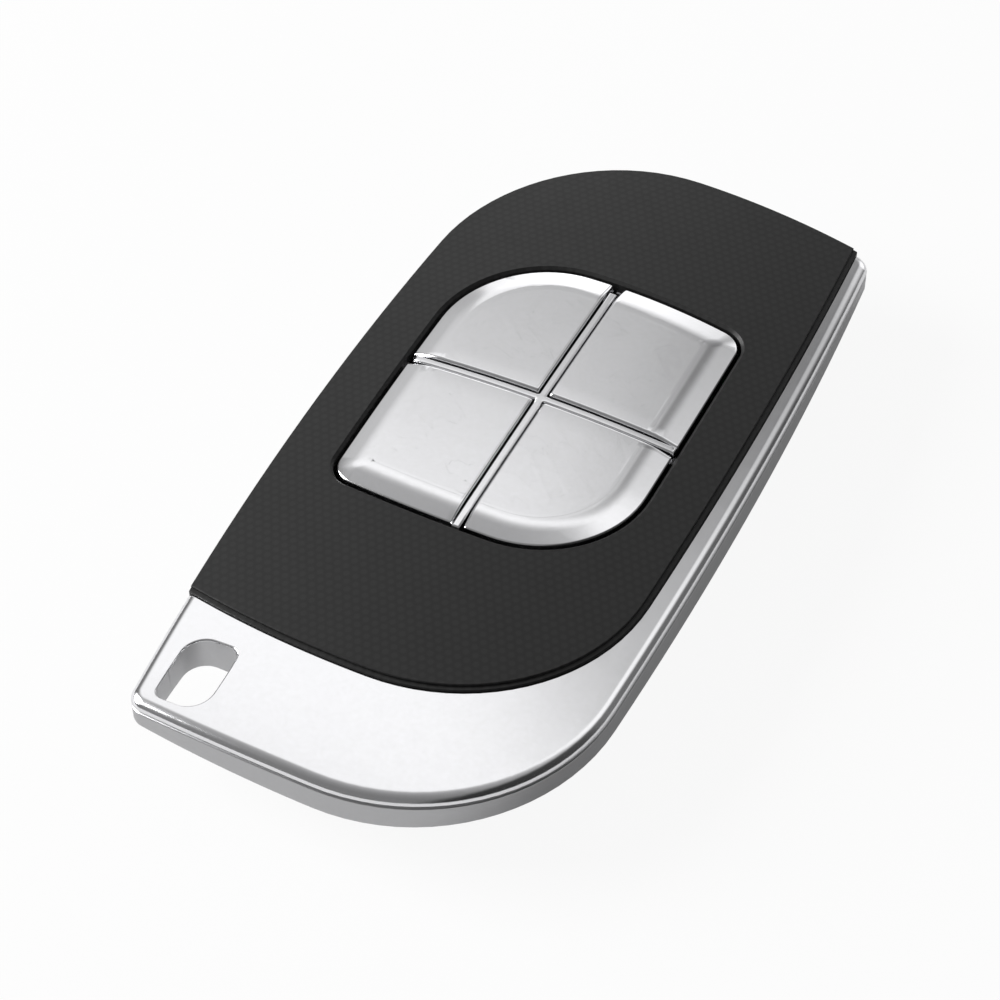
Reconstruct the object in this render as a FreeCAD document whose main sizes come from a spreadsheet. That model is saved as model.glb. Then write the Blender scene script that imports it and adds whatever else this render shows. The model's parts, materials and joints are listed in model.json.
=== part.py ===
"""Four-key gate remote control: a slim leaf-shaped key-ring fob.

Millimetres. The fob lies on its back: +Z points out of the keys, +Y towards the rounded head, -Y towards
the end with the key eye, and +X to the right of someone who reads the keys. The origin is the middle of
the footprint, on the surface that the fob rests on.
"""
import FreeCAD, Part
import Sketcher
import math
import os

from FreeCAD import Placement, Rotation, Vector

# The driving dimensions. Depths are measured down from the crowned top of the silver body, heights from
# the surface that the fob rests on.
sizes = {
    # Outline of the silver body at its widest.
    "body_width": 37.3,
    "body_length": 74.7,
    "body_big_radius": 18.0,
    "body_small_radius": 1.7,
    "body_side_bow": 420.0,
    "body_end_bow": 137.0,
    # Section of the silver body, whose top is crowned strongly across and gently lengthwise.
    "crown_radius": 124.0,
    "length_crown_radius": 480.0,
    "silver_top": 10.2,
    "rim_bottom": 5.2,
    "rim_fillet": 0.7,
    "body_wall": 1.5,
    "parting_depth": 0.92,
    "parting_gap": 0.12,
    "plug_clearance": 0.1,
    "inner_corner_radius": 0.8,
    "roof_depth": 2.4,
    # Black cover plate, flush with the left and upper edges of the body. It leaves a bright strip along
    # the right side and the bright end with the key eye.
    "side_strip": 1.8,
    "end_length": 10.6,
    "cover_big_radius": 17.3,
    "cover_small_radius": 0.4,
    "cover_side_bow": 420.0,
    "cover_end_bow": 63.0,
    "cover_thickness": 1.2,
    "cover_proud": 0.5,
    "cover_foot_proud": 0.24,
    "cover_foot_width": 0.38,
    "cover_clearance": 0.08,
    "cover_edge_inset": 0.12,
    "cover_bed": 0.04,
    # Pad of four keys.
    "pad_width": 25.0,
    "pad_length": 31.3,
    "pad_big_radius": 10.0,
    "pad_small_radius": 2.1,
    "pad_side_bow": 700.0,
    "pad_end_bow": 88.0,
    "key_gap": 1.0,
    "key_proud": 0.8,
    "key_bevel_width": 2.0,
    "key_bevel_drop": 0.45,
    "key_edge_bevel": 0.22,
    "key_clearance": 0.35,
    "key_bar_clearance": 0.15,
    "key_flange_reach": 0.9,
    "key_flange_overlap": 0.35,
    "key_flange_thickness": 0.75,
    "key_flange_play": 0.05,
    "key_post_diameter": 3.0,
    "key_travel": 0.3,
    "bar_root": 0.6,
    "bar_below_keys": 0.2,
    "bar_short_upper": 1.2,
    "bar_short_left": 0.45,
    "opening_chamfer": 0.25,
    # Key eye in the lower left corner.
    "eye_width": 4.85,
    "eye_length": 6.9,
    "eye_big_radius": 2.4,
    "eye_small_radius": 0.5,
    "eye_side_bow": 60.0,
    "eye_end_bow": 30.0,
    "eye_margin_left": 3.22,
    "eye_margin_end": 2.0,
    "eye_collar_wall": 0.6,
    "eye_collar_clearance": 0.05,
    "eye_land_radius": 6.8,
    # Belly of the lower shell, which the fob rests on.
    "belly_step": 0.3,
    "belly_inset": 4.0,
    "belly_bevel": 1.4,
    "belly_floor": 1.2,
    "belly_wall": 1.2,
    "belly_corner_radius": 3.0,
    "pillar_wall": 0.7,
    # Circuit board and what stands on it.
    "board_bottom": 2.4,
    "board_thickness": 1.0,
    "board_inset": 4.45,
    "board_corner_radius": 2.5,
    "board_from_land": 0.5,
    "switch_width": 5.2,
    "switch_height": 1.5,
    "plunger_diameter": 2.4,
    "plunger_height": 0.5,
    "plunger_clearance": 0.05,
    "plunger_engagement": 0.8,
    # Coin cell and its contacts.
    "battery_diameter": 20.0,
    "battery_thickness": 3.2,
    "battery_from_pad": 1.4,
    "battery_right": 3.0,
    "battery_edge": 0.3,
    "battery_cap_step": 0.9,
    "contact_thickness": 0.2,
    "contact_diameter": 12.0,
    "contact_hole_diameter": 4.0,
    "clip_thickness": 0.25,
    "clip_width": 4.0,
    "clip_foot": 0.5,
    "clip_clearance": 0.1,
    "battery_pocket_clearance": 0.6,
    "battery_roof_depth": 1.7,
    # Electronics.
    "chip_height": 1.0,
    "controller_length": 5.0,
    "controller_width": 6.2,
    "radio_width": 3.0,
    "crystal_length": 3.2,
    "crystal_width": 2.5,
    "crystal_height": 0.8,
    "antenna_radius": 3.2,
    "antenna_width": 0.8,
    "antenna_height": 0.8,
    "antenna_slot": 2.2,
    "chip_part_length": 1.6,
    "chip_part_width": 0.8,
    "chip_part_pitch": 1.8,
    "resistors_right": 5.0,
    "head_parts_above_pad": 7.0,
    "part_spacing": 1.0,
    # Screws that hold the back cover.
    "screw_diameter": 2.0,
    "screw_head_diameter": 3.6,
    "screw_head_height": 1.1,
    "screw_head_sunk": 0.3,
    "screw_engagement": 2.6,
    "screw_clearance": 0.03,
    "screw_hole_clearance": 0.15,
    "screws_above_pad": 4.8,
    "screw_below_pad": 3.8,
    "upper_screw_left": 6.0,
    "upper_screw_right": 10.7,
    "lower_screw_left": 9.0,
    "boss_diameter": 3.9,
    "boss_root": 0.3,
    "bore_beyond_screw": 0.2,
}


class Size(float):
    """A length that keeps the formula it comes from, so that a property can follow the sheet."""

    def __new__(cls, value, formula):
        size = super().__new__(cls, value)
        size.formula = formula
        return size

    def __add__(self, other):
        return Size(float(self) + float(other), f"({self.formula} + {formula_of(other)})")

    def __radd__(self, other):
        return Size(float(other) + float(self), f"({formula_of(other)} + {self.formula})")

    def __sub__(self, other):
        return Size(float(self) - float(other), f"({self.formula} - {formula_of(other)})")

    def __rsub__(self, other):
        return Size(float(other) - float(self), f"({formula_of(other)} - {self.formula})")

    def __mul__(self, other):
        return Size(float(self) * float(other), f"({self.formula} * {formula_of(other)})")

    def __rmul__(self, other):
        return Size(float(other) * float(self), f"({formula_of(other)} * {self.formula})")

    def __truediv__(self, other):
        return Size(float(self) / float(other), f"({self.formula} / {formula_of(other)})")

    def __neg__(self):
        return Size(-float(self), f"(-1 * {self.formula})")


def formula_of(value):
    """The formula of a size, or a plain number as text."""
    return value.formula if isinstance(value, Size) else repr(float(value))


doc = FreeCAD.newDocument("gate_remote")
sheet = doc.addObject("Spreadsheet::Sheet", "Sizes")
for row, (alias, value) in enumerate(sizes.items(), start=1):
    sheet.set(f"A{row}", alias)
    sheet.set(f"B{row}", str(value))
    sheet.setAlias(f"B{row}", alias)
doc.recompute()


def s(alias):
    """The named size, tied to its cell."""
    return Size(sizes[alias], f"Sizes.{alias}")


def bind(thing, **values):
    """Tie properties of an object to sizes."""
    for name, value in values.items():
        thing.setExpression(name, formula_of(value))


def place(thing, x=0.0, y=0.0, z=0.0, rotation=None):
    """Put an object at a point, tied to sizes."""
    thing.Placement = Placement(Vector(float(x), float(y), float(z)), rotation or Rotation())
    for axis, value in zip("xyz", (x, y, z)):
        thing.setExpression(f"Placement.Base.{axis}", formula_of(value))


def add(kind, name):
    return doc.addObject(kind, name)


def cylinder(name, diameter, x, y, bottom, top):
    """An upright round bar between two heights."""
    bar = add("Part::Cylinder", name)
    bind(bar, Radius=diameter / 2, Height=top - bottom)
    place(bar, x, y, bottom)
    return bar


def box(name, x0, x1, y0, y1, z0, z1):
    """A block between two opposite corners."""
    block = add("Part::Box", name)
    bind(block, Length=x1 - x0, Width=y1 - y0, Height=z1 - z0)
    place(block, x0, y0, z0)
    return block


def chain(kind, name, base, tools):
    """One boolean after the other; the last carries the name."""
    for number, tool in enumerate(tools, start=1):
        last = number == len(tools)
        step = add(kind, name if last else f"{name}_step{number}")
        step.Base, step.Tool = base, tool
        base = step
    return base


def cut(name, base, *tools):
    """The base without the tools."""
    return chain("Part::Cut", name, base, tools)


def common(name, base, *tools):
    """What the base shares with every tool."""
    return chain("Part::Common", name, base, tools)


def fuse(name, *shapes):
    joined = add("Part::MultiFuse", name)
    joined.Shapes = list(shapes)
    joined.Refine = True
    return joined


# The crowned block reaches this share of the body's width and length to either side of the middle.
CROWN_REACH = 0.75


def crown(name, depth):
    """The block under the crowned top surface, moved down by the depth: a section swept in a wide arc."""
    radius, middle = s("crown_radius") - depth, s("silver_top") - s("crown_radius")
    half, low = s("body_width") * CROWN_REACH, -s("silver_top") / 4
    side = math.sqrt(float(radius) ** 2 - float(half) ** 2) + float(middle)
    lean = math.asin(float(half) / float(radius))
    section = add("Sketcher::SketchObject", f"{name}_section")
    circle = Part.Circle(Vector(0, float(middle), 0), Vector(0, 0, 1), float(radius))
    section.addGeometry(Part.ArcOfCircle(circle, math.pi / 2 - lean, math.pi / 2 + lean), False)
    corners = [Vector(-half, side, 0), Vector(-half, low, 0), Vector(half, low, 0), Vector(half, side, 0)]
    for start, end in zip(corners, corners[1:]):
        section.addGeometry(Part.LineSegment(start, end), False)
    for number in range(4):
        section.addConstraint(Sketcher.Constraint("Coincident", number, 2, (number + 1) % 4, 1))
    for number, direction in ((1, "Vertical"), (2, "Horizontal"), (3, "Vertical")):
        section.addConstraint(Sketcher.Constraint(direction, number))
    section.addConstraint(Sketcher.Constraint("PointOnObject", 0, 3, -2))
    tie(section, Sketcher.Constraint("Radius", 0, float(radius)), radius)
    tie(section, Sketcher.Constraint("DistanceY", -1, 1, 0, 3, float(middle)), middle)
    tie(section, Sketcher.Constraint("DistanceX", -1, 1, 2, 2, float(half)), half)
    tie(section, Sketcher.Constraint("DistanceX", -1, 1, 2, 1, -float(half)), -half)
    tie(section, Sketcher.Constraint("DistanceY", -1, 1, 2, 1, float(low)), low)
    section.Placement = Placement(Vector(), Rotation(Vector(1, 0, 0), 90))
    far_axis = s("silver_top") - s("length_crown_radius")
    sweep = add("Part::Revolution", name)
    sweep.Source = section
    sweep.Axis = Vector(1, 0, 0)
    sweep.Base = Vector(0, 0, float(far_axis))
    sweep.Symmetric = True
    sweep.Solid = True
    angle = s("body_length") * 2 * CROWN_REACH / s("length_crown_radius") * math.degrees(1)
    bind(sweep, **{"Base.z": far_axis, "Angle": angle})
    return sweep


# Width and length of each leaf-shaped outline.
plan = {
    "body": (s("body_width"), s("body_length")),
    "cover": (s("body_width") - s("side_strip"), s("body_length") - s("end_length")),
    "pad": (s("pad_width"), s("pad_length")),
    "eye": (s("eye_width"), s("eye_length")),
}


class Leaf:
    """An outline with large corners at the upper left and lower right and small ones on the other diagonal.

    Its four sides are gently bowed arcs. left, right, upper and lower move one side outwards, and small
    gives the small corners a radius of their own.
    """

    def __init__(self, kind, grow=0.0, left=0.0, right=0.0, upper=0.0, lower=0.0, small=None):
        width, length = plan[kind]
        self.half_width = width / 2 + grow + (left + right) / 2
        self.half_length = length / 2 + grow + (upper + lower) / 2
        self.shift = (right - left) / 2, (upper - lower) / 2
        self.big = s(f"{kind}_big_radius") + grow
        self.small = s(f"{kind}_small_radius") + grow if small is None else small
        self.side_bow = s(f"{kind}_side_bow") + grow
        self.end_bow = s(f"{kind}_end_bow") + grow

    def arcs(self):
        """Centres and radii of the eight arcs, anticlockwise from the right side, and their joints."""
        side_x, end_y = self.half_width - self.side_bow, self.half_length - self.end_bow
        right, left = Vector(side_x, 0, 0), Vector(-side_x, 0, 0)
        top, bottom = Vector(0, end_y, 0), Vector(0, -end_y, 0)
        rounds = [
            (right, self.side_bow),
            (corner_centre(right, self.side_bow, top, self.end_bow, self.small, 1, 1), self.small),
            (top, self.end_bow),
            (corner_centre(left, self.side_bow, top, self.end_bow, self.big, -1, 1), self.big),
            (left, self.side_bow),
            (corner_centre(left, self.side_bow, bottom, self.end_bow, self.small, -1, -1), self.small),
            (bottom, self.end_bow),
            (corner_centre(right, self.side_bow, bottom, self.end_bow, self.big, 1, -1), self.big),
        ]
        joints = []
        for (centre, radius), (other, other_radius) in zip(rounds, rounds[1:] + rounds[:1]):
            away = (other - centre) if radius > other_radius else (centre - other)
            start, reach = (centre, radius) if radius > other_radius else (other, other_radius)
            joints.append(start + away.normalize() * float(reach))
        return rounds, joints

    def sketch(self, name, x=0.0, y=0.0, z=0.0):
        """The outline as a fully tied sketch at a height."""
        outline = add("Sketcher::SketchObject", name)
        rounds, joints = self.arcs()
        for number, (centre, radius) in enumerate(rounds):
            start, end = joints[number - 1] - centre, joints[number] - centre
            first = math.atan2(start.y, start.x)
            last = math.atan2(end.y, end.x)
            if last < first:
                last += 2 * math.pi
            circle = Part.Circle(centre, Vector(0, 0, 1), float(radius))
            outline.addGeometry(Part.ArcOfCircle(circle, first, last), False)
        for number in range(8):
            outline.addConstraint(Sketcher.Constraint("Tangent", number, 2, (number + 1) % 8, 1))
        for number, (centre, radius) in enumerate(rounds):
            tie(outline, Sketcher.Constraint("Radius", number, float(radius)), radius)
        for number, sign in ((0, 1), (4, -1)):
            outline.addConstraint(Sketcher.Constraint("PointOnObject", number, 3, -1))
            distance = (self.half_width - self.side_bow) * sign
            tie(outline, Sketcher.Constraint("DistanceX", -1, 1, number, 3, float(distance)), distance)
        for number, sign in ((2, 1), (6, -1)):
            outline.addConstraint(Sketcher.Constraint("PointOnObject", number, 3, -2))
            distance = (self.half_length - self.end_bow) * sign
            tie(outline, Sketcher.Constraint("DistanceY", -1, 1, number, 3, float(distance)), distance)
        place(outline, x + self.shift[0], y + self.shift[1], z)
        return outline

    def prism(self, name, x, y, bottom, top):
        """The outline as an upright prism between two heights."""
        block = add("Part::Extrusion", name)
        block.Base = self.sketch(f"{name}_outline", x, y, bottom)
        block.DirMode = "Normal"
        block.Solid = True
        bind(block, LengthFwd=top - bottom)
        return block


def tie(outline, constraint, value):
    """Add a dimension to a sketch and bind it to a size."""
    number = outline.addConstraint(constraint)
    outline.setExpression(f"Constraints[{number}]", formula_of(value))


def corner_centre(side, side_radius, end, end_radius, radius, sign_x, sign_y):
    """Centre of the corner arc that touches a side arc and an end arc from the inside."""
    reach_side, reach_end = float(side_radius - radius), float(end_radius - radius)
    gap = end - side
    along = (gap.Length ** 2 + reach_side ** 2 - reach_end ** 2) / (2 * gap.Length)
    across = math.sqrt(reach_side ** 2 - along ** 2)
    foot = side + gap * (along / gap.Length)
    normal = Vector(-gap.y, gap.x, 0).normalize()
    choices = [foot + normal * across, foot - normal * across]
    return max(choices, key=lambda point: point.x * sign_x + point.y * sign_y)


def loft(name, low, high):
    """A solid with straight walls between two outlines."""
    skin = add("Part::Loft", name)
    skin.Sections = [low, high]
    skin.Solid = True
    skin.Ruled = True
    return skin


def softened(kind, name, base, radius, chooses):
    """The base with the chosen edges rounded or bevelled."""
    doc.recompute()
    edges = [n for n, edge in enumerate(base.Shape.Edges, start=1) if chooses(edge)]
    result = add(f"Part::{kind}", name)
    result.Base = base
    result.Edges = [(number, float(radius), float(radius)) for number in edges]
    return result


def on_crown(depth):
    """Tells whether an edge lies all along the crowned surface at this depth."""
    far_axis = s("silver_top") - s("length_crown_radius")
    reach = s("length_crown_radius") - s("crown_radius")
    radius = s("crown_radius") - depth

    def test(edge):
        first, last = edge.ParameterRange
        points = [edge.valueAt(first + (last - first) * share) for share in (0.1, 0.4, 0.6, 0.9)]
        return all(abs(math.hypot(p.x, math.hypot(p.y, p.z - far_axis) - reach) - radius) < 1e-4 for p in points)

    return test


# How far a cutting block stands out beyond what it cuts, and how deep joined blocks enter each other.
PAST = 1.0
SUNK = 0.2

# Places that several pieces share.
ZERO = Size(0.0, "0")
BELOW = ZERO - PAST
TOP_CLEAR = s("silver_top") + s("key_proud") + PAST
recess_depth = s("cover_thickness") - s("cover_proud")
pad_x = -s("side_strip") / 2 + s("cover_edge_inset")
pad_y = s("end_length") / 2 - s("cover_edge_inset")
board_top = s("board_bottom") + s("board_thickness")
switch_top = board_top + s("switch_height")
plunger_top = switch_top + s("plunger_height")
eye_x = -s("body_width") / 2 + s("eye_margin_left") + s("eye_width") / 2
eye_y = -s("body_length") / 2 + s("eye_margin_end") + s("eye_length") / 2
battery_x = s("battery_right")
battery_y = pad_y - s("pad_length") / 2 - s("battery_from_pad") - s("battery_diameter") / 2
flange_top_depth = s("roof_depth") + s("key_flange_play")
flange_bottom_depth = flange_top_depth + s("key_flange_thickness")
upper_screws_y = pad_y + s("pad_length") / 2 + s("screws_above_pad")
screw_places = {
    "upper_left": (pad_x - s("upper_screw_left"), upper_screws_y),
    "upper_right": (pad_x + s("upper_screw_right"), upper_screws_y),
    "lower_left": (pad_x - s("lower_screw_left"), pad_y - s("pad_length") / 2 - s("screw_below_pad")),
}
keys = {
    "upper_left": (-1, 1),
    "upper_right": (1, 1),
    "lower_left": (-1, -1),
    "lower_right": (1, -1),
}


def quadrant(name, column, row, inner):
    """A block over one quarter of the pad that starts a little way from the pad's middle lines."""
    reach_x = s("pad_width") / 2 + s("key_flange_reach") + PAST
    reach_y = s("pad_length") / 2 + s("key_flange_reach") + PAST
    x0, x1 = sorted((pad_x + column * inner, pad_x + column * reach_x))
    y0, y1 = sorted((pad_y + row * inner, pad_y + row * reach_y))
    return box(name, x0, x1, y0, y1, ZERO, TOP_CLEAR)


def eye_column(name, radius):
    """The round land that stays solid about the key eye, out to the corner."""
    corner = s("body_width") / 2 + PAST, s("body_length") / 2 + PAST
    return fuse(
        name,
        cylinder(f"{name}_round", 2 * radius, eye_x, eye_y, BELOW, TOP_CLEAR),
        box(f"{name}_corner", -corner[0], eye_x, -corner[1], eye_y, BELOW, TOP_CLEAR),
    )


def rim_block(name, depth):
    """The whole rim as one upright block under the crowned surface at this depth."""
    block = Leaf("body").prism(f"{name}_leaf", 0.0, 0.0, s("rim_bottom"), TOP_CLEAR)
    return common(name, block, crown(f"{name}_crown", depth))


def key_eye(name, grow, bottom):
    """An upright leaf over the place of the key eye, a little larger than the hole for the key ring."""
    return Leaf("eye", grow=grow).prism(name, eye_x, eye_y, bottom, TOP_CLEAR)


def upper_shell():
    """The bright upper moulding: soft edge, recess for the cover, four key windows, eye collar and bosses."""
    soft = softened("Fillet", "upper_soft", rim_block("upper_block", 0.0), s("rim_fillet"), on_crown(0.0))
    slab = cut("upper_slab", soft, crown("parting_face", s("parting_depth")))
    plug_leaf = Leaf("body", grow=-s("body_wall") - s("plug_clearance"), small=s("inner_corner_radius"))
    plug = cut(
        "upper_plug",
        common(
            "upper_plug_blank",
            plug_leaf.prism("upper_plug_block", 0.0, 0.0, s("rim_bottom"), TOP_CLEAR),
            crown("upper_plug_top", s("parting_depth") - SUNK),
        ),
        crown("upper_roof", s("roof_depth")),
        eye_column("upper_plug_past_eye", s("eye_land_radius") + s("body_wall") + s("plug_clearance")),
    )

    past = 2 * s("rim_fillet")
    recess_leaf = Leaf("cover", left=past, upper=past, right=s("cover_clearance"), lower=s("cover_clearance"))
    recess = cut(
        "cover_recess",
        recess_leaf.prism("cover_recess_block", pad_x, pad_y, s("rim_bottom"), TOP_CLEAR),
        crown("cover_recess_floor", recess_depth),
    )
    window_leaf = Leaf("pad", grow=s("key_clearance")).prism(
        "window_leaf", pad_x, pad_y, s("rim_bottom") - PAST, TOP_CLEAR)
    window_start = s("key_gap") / 2 - s("key_bar_clearance")
    windows = [
        common(f"window_{name}", window_leaf, quadrant(f"window_quarter_{name}", column, row, window_start))
        for name, (column, row) in keys.items()
    ]
    pocket = common(
        "battery_pocket",
        cylinder("battery_pocket_round", s("battery_diameter") + 2 * s("battery_pocket_clearance"),
                 battery_x, battery_y, s("rim_bottom"), TOP_CLEAR),
        crown("battery_pocket_roof", s("battery_roof_depth")),
    )
    opened = cut("upper_opened", fuse("upper_joined", slab, plug), recess, *windows, pocket)

    boss_top = s("silver_top") - s("roof_depth") + s("boss_root")
    bosses = [
        cylinder(f"boss_{name}", s("boss_diameter"), x, y, board_top, boss_top)
        for name, (x, y) in screw_places.items()
    ]
    bores = [
        cylinder(f"boss_bore_{name}", s("screw_diameter") + 2 * s("screw_clearance"), x, y,
                 board_top - PAST, board_top + s("screw_engagement") + s("bore_beyond_screw"))
        for name, (x, y) in screw_places.items()
    ]
    collar = common(
        "eye_collar",
        key_eye("eye_collar_block", s("eye_collar_wall"), s("rim_bottom")),
        crown("eye_collar_top", s("parting_depth") / 2),
    )
    joined = fuse("upper_with_bosses", opened, collar, cross_bars(window_start), *bosses)
    shell = cut("upper_bored", joined, *bores, key_eye("upper_eye", 0.0, BELOW))
    shell.Label = "upper_shell"
    return [shell]


def cross_bars(half_width):
    """The crossed bars that stand up between the keys, a little short at the head and at the left."""
    half_x, half_y = s("pad_width") / 2, s("pad_length") / 2
    past = s("key_clearance")
    root = s("silver_top") - s("roof_depth") + s("bar_root")
    upright = box("bar_upright", pad_x - half_width, pad_x + half_width, pad_y - half_y - past,
                  pad_y + half_y - s("bar_short_upper"), root, TOP_CLEAR)
    crosswise = box("bar_crosswise", pad_x - half_x + s("bar_short_left"), pad_x + half_x,
                    pad_y - half_width, pad_y + half_width, root, TOP_CLEAR)
    return common(
        "cross_bars",
        fuse("bars_joined", upright, crosswise),
        Leaf("pad", grow=past).prism("bar_leaf", pad_x, pad_y, s("rim_bottom"), TOP_CLEAR),
        crown("bar_top", s("bar_below_keys") - s("key_proud")),
    )


def top_cover():
    """The black plate: crowned like the body, with a low foot all round and a bevelled opening for the keys."""
    foot = common(
        "cover_foot",
        Leaf("cover").prism("cover_foot_block", pad_x, pad_y, s("rim_bottom"), TOP_CLEAR),
        crown("cover_foot_top", -s("cover_foot_proud")),
    )
    raised = common(
        "cover_raised",
        Leaf("cover", grow=-s("cover_foot_width"), small=s("cover_small_radius")).prism(
            "cover_raised_block", pad_x, pad_y, s("rim_bottom"), TOP_CLEAR),
        crown("cover_top", -s("cover_proud")),
    )
    underside = crown("cover_underside", recess_depth - s("cover_bed"))
    plate = cut("cover_plate", fuse("cover_blank", foot, raised), underside)
    opening = Leaf("pad", grow=s("key_clearance")).prism("cover_opening", pad_x, pad_y, s("rim_bottom"), TOP_CLEAR)
    opened = cut("cover_opened", plate, opening)
    inside = Leaf("pad", grow=s("key_clearance") + PAST)
    on_top = on_crown(-s("cover_proud"))

    def rim_of_opening(edge):
        middle = edge.CenterOfMass
        near_x = abs(middle.x - pad_x) < float(inside.half_width)
        near_y = abs(middle.y - pad_y) < float(inside.half_length)
        return on_top(edge) and near_x and near_y

    doc.recompute()
    bevelled = add("Part::Chamfer", "cover_bevelled")
    bevelled.Base = opened
    edges = [n for n, edge in enumerate(opened.Shape.Edges, start=1) if rim_of_opening(edge)]
    bevelled.Edges = [(n, float(s("opening_chamfer")), float(s("opening_chamfer"))) for n in edges]
    bevelled.Label = "top_cover"
    return [bevelled]


def key_caps():
    """Four bright keys cut from one leaf, each with a soft outer bevel, a retaining flange and a post."""
    blank = common(
        "pad_blank",
        Leaf("pad").prism("pad_block", pad_x, pad_y, s("belly_floor"), TOP_CLEAR),
        crown("pad_top", -s("key_proud")),
    )
    doc.recompute()
    on_top = on_crown(-s("key_proud"))
    bevelled = add("Part::Chamfer", "pad_bevelled")
    bevelled.Base = blank
    bevelled.Edges = [
        (n, *bevel_sizes(blank.Shape, edge, on_top))
        for n, edge in enumerate(blank.Shape.Edges, start=1) if on_top(edge)
    ]
    flange_plate = cut(
        "flange_plate",
        common(
            "flange_blank",
            Leaf("pad", grow=s("key_flange_reach")).prism(
                "flange_leaf", pad_x, pad_y, s("belly_floor"), TOP_CLEAR),
            crown("flange_top", flange_top_depth),
        ),
        crown("flange_underside", flange_bottom_depth),
    )
    cap_plate = cut("cap_plate", bevelled, crown("cap_underside", flange_bottom_depth))
    caps = []
    for name, (column, row) in keys.items():
        cap = common(f"key_cap_{name}", cap_plate, quadrant(f"cap_quarter_{name}", column, row, s("key_gap") / 2))
        soft = softened("Chamfer", f"key_soft_{name}", cap, s("key_edge_bevel"), along_gap)
        flange_start = s("key_gap") / 2 - s("key_flange_overlap")
        flange = common(f"key_flange_{name}", flange_plate,
                        quadrant(f"flange_quarter_{name}", column, row, flange_start))
        x, y = key_middle(column, row)
        post = cylinder(f"key_post_{name}", s("key_post_diameter"), x, y, plunger_top,
                        s("silver_top") - flange_bottom_depth + SUNK)
        key = fuse(f"key_joined_{name}", soft, flange, post)
        key.Label = f"key_{name}"
        caps.append(key)
    return caps


def bevel_sizes(shape, edge, on_top):
    """The bevel's two sizes in the order in which the edge meets its faces."""
    first = shape.ancestorsOfType(edge, Part.Face)[0]
    is_top = all(on_top(other) for other in first.Edges)
    sizes_in_order = (s("key_bevel_width"), s("key_bevel_drop"))
    return tuple(float(v) for v in (sizes_in_order if is_top else reversed(sizes_in_order)))


def along_gap(edge):
    """Tells whether an edge runs along the top of the gap between two keys."""
    ends = [vertex.Point for vertex in edge.Vertexes]
    half_gap = float(s("key_gap")) / 2
    on_column = all(abs(abs(p.x - pad_x) - half_gap) < 1e-4 for p in ends)
    on_row = all(abs(abs(p.y - pad_y) - half_gap) < 1e-4 for p in ends)
    upright = len(ends) == 2 and abs(ends[0].z - ends[1].z) > float(s("key_flange_thickness"))
    high = min(p.z for p in ends) > float(s("silver_top") - s("roof_depth") / 2)
    return (on_column or on_row) and high and not upright


def key_middle(column, row):
    """Where the post of a key stands."""
    return (
        pad_x + column * (s("pad_width") / 2 + s("key_gap") / 2) / 2,
        pad_y + row * (s("pad_length") / 2 + s("key_gap") / 2) / 2,
    )


def lower_shell():
    """The lower moulding: side wall, key-eye land and a shallow belly with pillars and sunk screw heads."""
    wall = rim_block("wall_block", s("parting_depth") + s("parting_gap"))
    base = Leaf("body", grow=-s("belly_inset"), small=s("belly_corner_radius"))
    brim = Leaf("body", grow=-s("belly_step"))
    belly = loft(
        "belly_outside",
        base.sketch("belly_outline_base"),
        brim.sketch("belly_outline_rim", z=s("rim_bottom")),
    )
    belly = softened("Chamfer", "belly_soft", belly, s("belly_bevel"), lambda edge: edge.BoundBox.ZMax < 1e-3)
    belly = cut("belly_past_eye", belly, eye_column("belly_scallop", s("eye_land_radius")))

    floor = Leaf("body", grow=-s("belly_inset") - s("belly_wall") / 2, small=s("belly_corner_radius"))
    inner_brim = Leaf("body", grow=-s("belly_step") - s("belly_wall"), small=s("inner_corner_radius"))
    inside_belly = loft(
        "belly_inside",
        floor.sketch("belly_outline_floor", z=s("belly_floor")),
        inner_brim.sketch("belly_outline_inner_rim", z=s("rim_bottom")),
    )
    inside_wall = Leaf("body", grow=-s("body_wall"), small=s("inner_corner_radius"))
    hollow = cut(
        "lower_hollow",
        fuse("lower_inside", inside_belly,
             inside_wall.prism("wall_inside", 0.0, 0.0, s("rim_bottom"), TOP_CLEAR)),
        eye_column("eye_land", s("eye_land_radius") + s("body_wall")),
    )
    shell = cut("lower_hollowed", fuse("lower_outside", wall, belly), hollow)

    pillars = [
        cylinder(f"pillar_{name}", s("screw_head_diameter") + 2 * s("pillar_wall"), x, y,
                 s("belly_floor") / 2, s("board_bottom"))
        for name, (x, y) in screw_places.items()
    ]
    head_top = s("screw_head_sunk") + s("screw_head_height")
    holes = []
    for name, (x, y) in screw_places.items():
        holes.append(cylinder(f"head_recess_{name}", s("screw_head_diameter") + 2 * s("screw_hole_clearance"),
                              x, y, BELOW, head_top))
        holes.append(cylinder(f"screw_hole_{name}", s("screw_diameter") + 2 * s("screw_hole_clearance"),
                              x, y, head_top - SUNK, s("board_bottom") + PAST))
    collar_hole = key_eye("lower_eye", s("eye_collar_wall") + s("eye_collar_clearance"), BELOW)
    solid = cut("lower_bored", fuse("lower_joined", shell, *pillars), *holes, collar_hole)
    solid.Label = "lower_shell"
    return [solid]


def circuit_board():
    """The board, clamped between the pillars of the lower shell and the bosses of the upper one."""
    leaf = Leaf("body", grow=-s("board_inset"), small=s("board_corner_radius"))
    blank = leaf.prism("board_block", 0.0, 0.0, s("board_bottom"), board_top)
    notch = eye_column("board_notch", s("eye_land_radius") + s("body_wall") + s("board_from_land"))
    holes = [
        cylinder(f"board_hole_{name}", s("screw_diameter") + 2 * s("screw_hole_clearance"), x, y,
                 s("board_bottom") - PAST, board_top + PAST)
        for name, (x, y) in screw_places.items()
    ]
    board = cut("board_drilled", blank, notch, *holes)
    board.Label = "circuit_board"
    return [board]


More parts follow.
